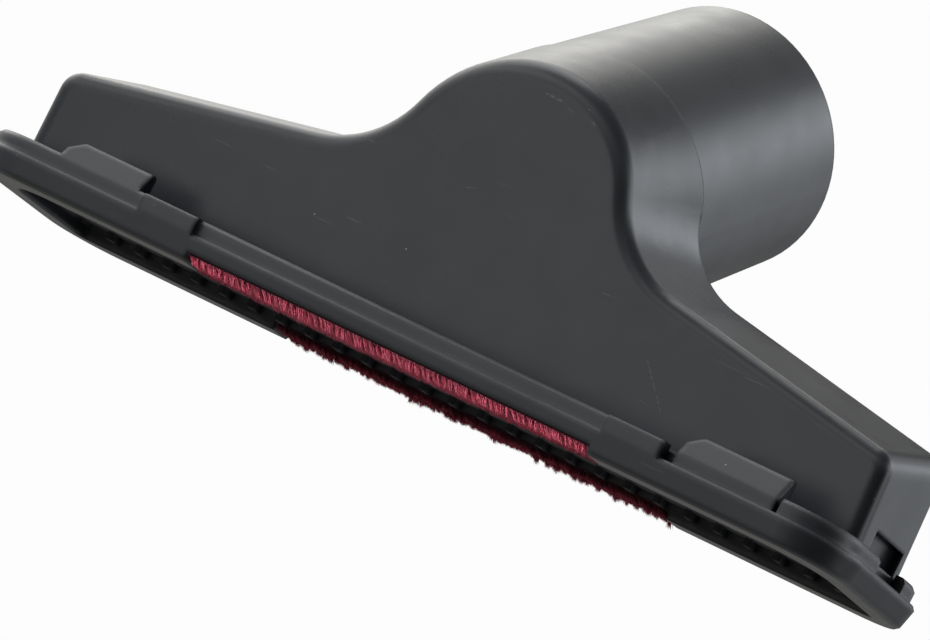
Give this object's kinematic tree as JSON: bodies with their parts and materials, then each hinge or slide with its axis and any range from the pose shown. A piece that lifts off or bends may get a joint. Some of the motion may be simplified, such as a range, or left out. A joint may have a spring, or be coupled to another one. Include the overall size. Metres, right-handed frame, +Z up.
{
  "type": "vacuum upholstery nozzle",
  "caption": "Wide vacuum upholstery nozzle with a slanting hose socket, a clip-on sole frame and red lint-lifting pile strips beside the suction mouth.",
  "frame": {"origin": "on the resting plane, under the middle of the overall depth and width", "axes": "+X along the mouth, +Y to the back where the hose socket leaves, +Z up away from the surface being cleaned"},
  "size_m": [0.1474, 0.079, 0.0739],
  "materials": {
    "housing": "satin moulded black polypropylene",
    "sole_frame": "matte moulded black polypropylene",
    "pile": "short dense velour pile"
  },
  "bodies": {
    "root": {"housing": "housing", "sole_frame": "sole_frame", "front_lint_strip": "pile", "rear_lint_strip": "pile"}
  },
  "joints": []
}
